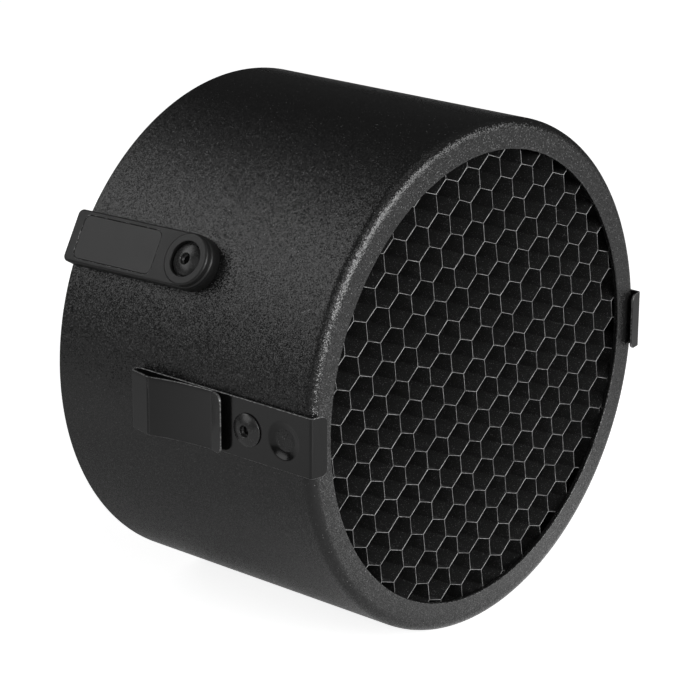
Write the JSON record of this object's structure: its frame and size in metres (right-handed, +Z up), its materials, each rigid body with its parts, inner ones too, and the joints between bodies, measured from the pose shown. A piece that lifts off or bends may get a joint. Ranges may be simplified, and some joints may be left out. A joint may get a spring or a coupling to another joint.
{
  "type": "honeycomb grid snoot",
  "caption": "Short black tube with a turned-in lip, a honeycomb grid behind it, two riveted spring clips that flex inwards and a blank moulded name tab.",
  "frame": {"origin": "centre of the rear opening, on the axis of the tube", "axes": "+Y along the axis from the lip to the rear opening, so the light leaves towards -Y; +X through the right clip as seen from the front; +Z up"},
  "size_m": [0.1352, 0.0836, 0.127],
  "materials": {
    "coat": "fine-textured matt black powder coat",
    "honeycomb": "black-stained foil with pale cut edges",
    "wire": "oiled spring wire",
    "clip_steel": "satin black spring steel with bright sheared edges",
    "rivet": "black oxide",
    "mandrel": "dull broken steel",
    "tab": "fine satin moulding",
    "label": "smooth blank plate"
  },
  "bodies": {
    "snoot": {"barrel": "coat", "honeycomb_grid": "honeycomb", "grid_retaining_ring": "wire", "left_clip_base": "clip_steel", "left_clip_rivet": "rivet", "left_rivet_mandrel": "mandrel", "right_clip_base": "clip_steel", "right_clip_rivet": "rivet", "right_rivet_mandrel": "mandrel", "name_tab": "tab", "tab_label": "label", "tab_rivet": "rivet", "tab_rivet_mandrel": "mandrel"},
    "left_bend": {"left_clip_bend": "clip_steel"},
    "left_leaf": {"left_clip_leaf": "clip_steel"},
    "right_bend": {"right_clip_bend": "clip_steel"},
    "right_leaf": {"right_clip_leaf": "clip_steel"}
  },
  "joints": [
    {"name": "left_clip_press", "type": "hinge", "parent": "snoot", "child": "left_bend", "pos_m": [-0.06496, -0.0284, 0], "axis": [0, 0, 1], "range_deg": [0, 9.3], "stiffness_Nm_per_rad": 0.26},
    {"name": "left_leaf_crest", "type": "hinge", "parent": "left_bend", "child": "left_leaf", "pos_m": [-0.06732, -0.03407, 0], "axis": [0, 0, -1], "range_deg": [0, 12.6]},
    {"name": "right_clip_press", "type": "hinge", "parent": "snoot", "child": "right_bend", "pos_m": [0.06496, -0.0284, 0], "axis": [0, 0, -1], "range_deg": [0, 9.3], "stiffness_Nm_per_rad": 0.26},
    {"name": "right_leaf_crest", "type": "hinge", "parent": "right_bend", "child": "right_leaf", "pos_m": [0.06732, -0.03407, 0], "axis": [0, 0, 1], "range_deg": [0, 12.6]}
  ],
  "couplings": [
    {"joint": "left_leaf_crest", "follows": "left_clip_press", "ratio": 1.35},
    {"joint": "right_leaf_crest", "follows": "right_clip_press", "ratio": 1.35}
  ]
}
